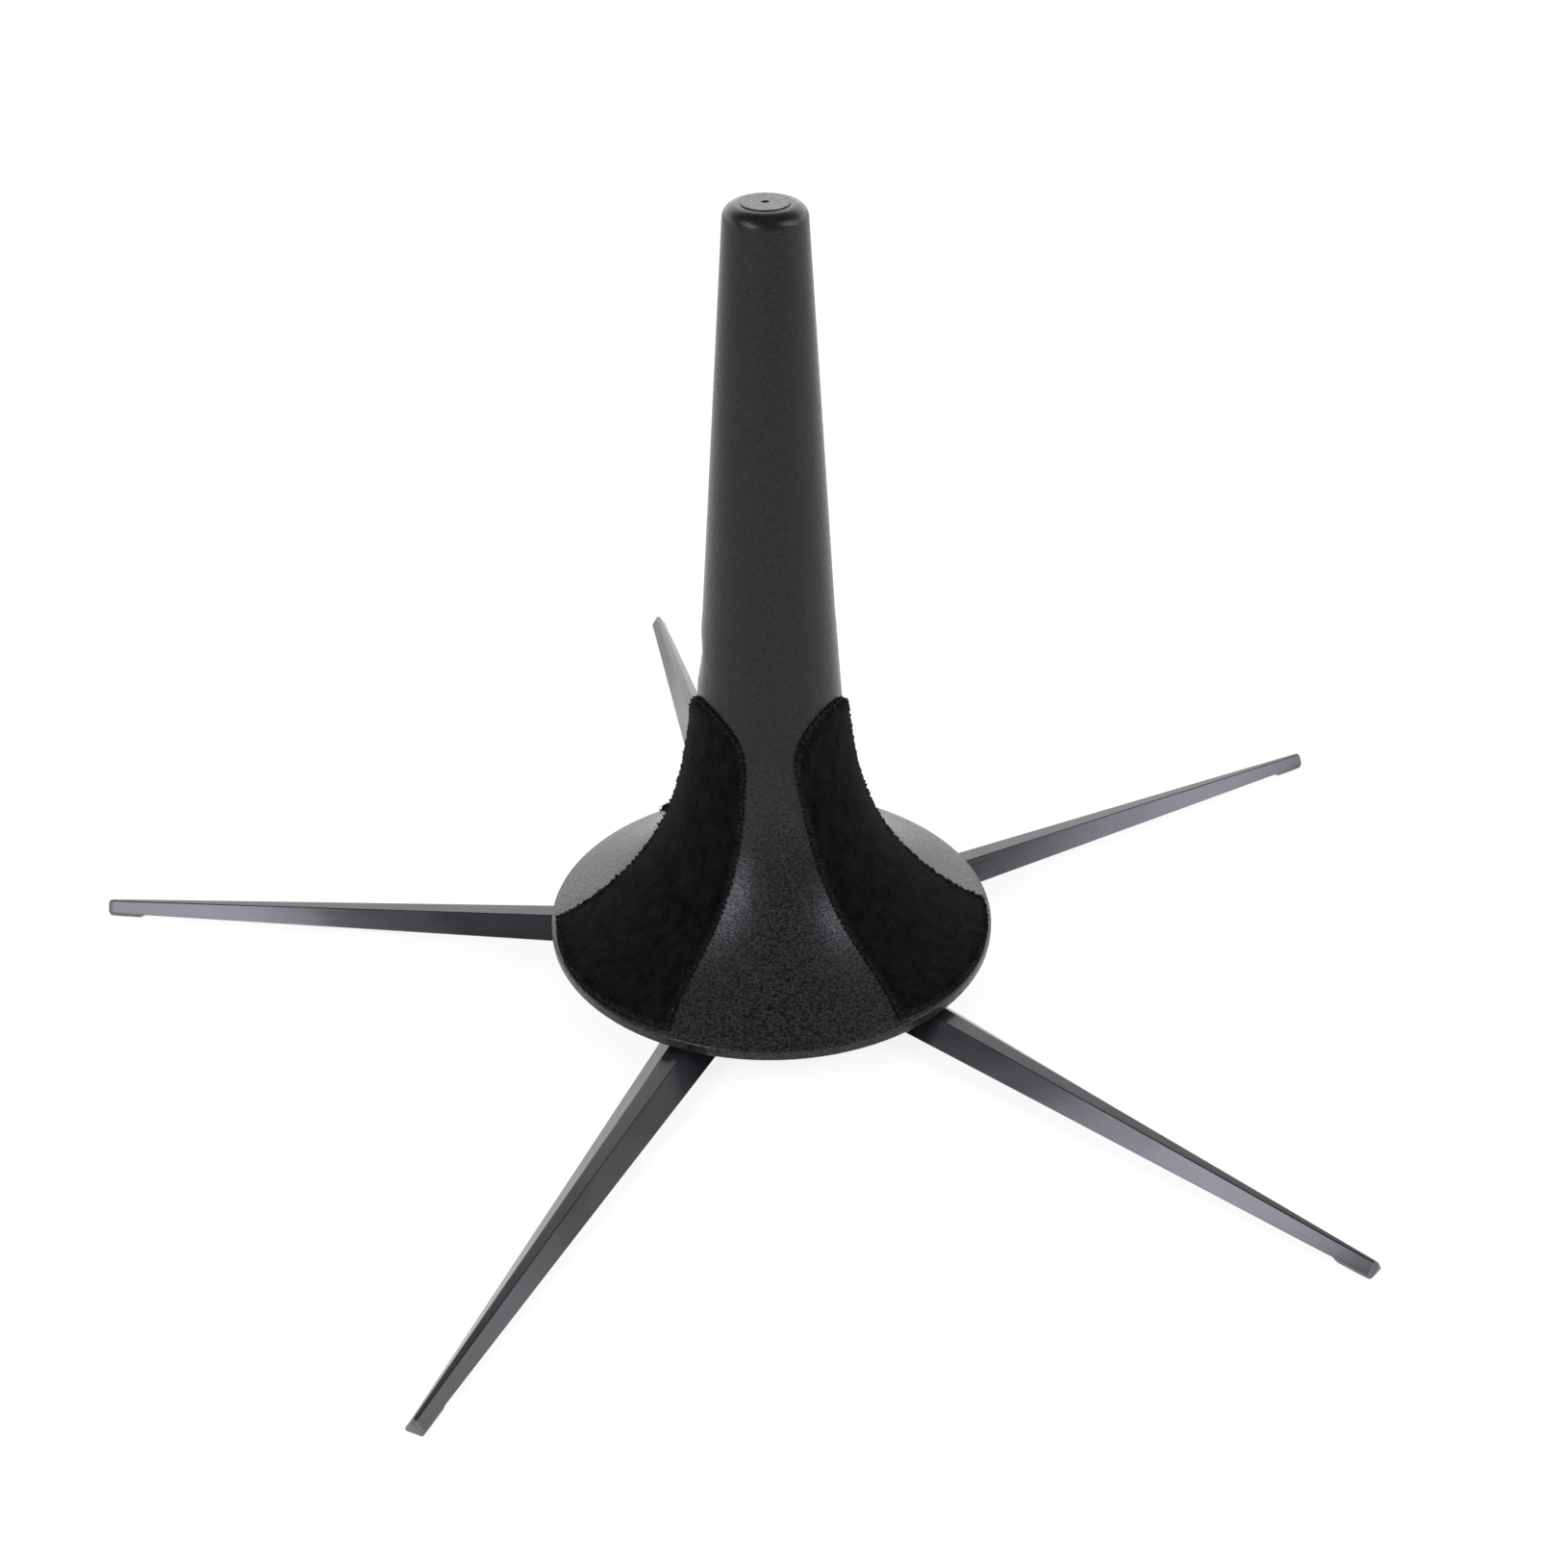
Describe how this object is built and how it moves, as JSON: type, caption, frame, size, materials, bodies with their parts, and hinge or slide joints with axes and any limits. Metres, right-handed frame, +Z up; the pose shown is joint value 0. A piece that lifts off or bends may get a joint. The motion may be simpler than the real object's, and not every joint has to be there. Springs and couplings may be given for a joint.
{
  "type": "trumpet stand",
  "caption": "Compact folding trumpet stand: flared hollow plastic cone with velour pads, standing on folding sheet-steel channel legs with rubber tips.",
  "frame": {"origin": "on the cone's axis at floor level, in the centre of the ring of feet", "axes": "+Z up along the cone's axis; the legs point outwards in the XY plane"},
  "size_m": [0.2937, 0.298, 0.1772],
  "materials": {
    "cone_plastic": "fine moulded grain, charcoal black",
    "hub_plastic": "plain moulded, black",
    "velour": "short pile velour, deep black",
    "leg_enamel": "glossy black enamel on pressed steel",
    "foot_rubber": "dark grey, satin",
    "steel": "zinc plated"
  },
  "bodies": {
    "hub": {"leg_hub": "hub_plastic", "hub_cover": "hub_plastic", "hub_screw": "steel", "hinge_pin_1": "steel", "hinge_pin_2": "steel", "hinge_pin_3": "steel", "hinge_pin_4": "steel", "hinge_pin_5": "steel"},
    "cone": {"cone_body": "cone_plastic", "velour_pad_1": "velour", "velour_pad_2": "velour", "velour_pad_3": "velour"},
    "leg_1": {"leg_1": "leg_enamel", "foot_1": "foot_rubber"},
    "leg_2": {"leg_2": "leg_enamel", "foot_2": "foot_rubber"},
    "leg_3": {"leg_3": "leg_enamel", "foot_3": "foot_rubber"},
    "leg_4": {"leg_4": "leg_enamel", "foot_4": "foot_rubber"},
    "leg_5": {"leg_5": "leg_enamel", "foot_5": "foot_rubber"}
  },
  "joints": [
    {"name": "cone_lift", "type": "slide", "parent": "hub", "child": "cone", "axis": [0, 0, 1], "range_m": [0, 0.04]},
    {"name": "leg_fold_1", "type": "hinge", "parent": "hub", "child": "leg_1", "pos_m": [0.01261, 0.00716, 0.0063], "axis": [-0.4939, 0.8695, 0], "range_deg": [0, 92.3]},
    {"name": "leg_fold_2", "type": "hinge", "parent": "hub", "child": "leg_2", "pos_m": [-0.00292, 0.0142, 0.0063], "axis": [-0.9796, -0.2011, 0], "range_deg": [0, 92.3]},
    {"name": "leg_fold_3", "type": "hinge", "parent": "hub", "child": "leg_3", "pos_m": [-0.01441, 0.00162, 0.0063], "axis": [-0.1115, -0.9938, 0], "range_deg": [0, 92.3]},
    {"name": "leg_fold_4", "type": "hinge", "parent": "hub", "child": "leg_4", "pos_m": [-0.00599, -0.0132, 0.0063], "axis": [0.9107, -0.4131, 0], "range_deg": [0, 92.3]},
    {"name": "leg_fold_5", "type": "hinge", "parent": "hub", "child": "leg_5", "pos_m": [0.01071, -0.00978, 0.0063], "axis": [0.6743, 0.7385, 0], "range_deg": [0, 92.3]}
  ]
}
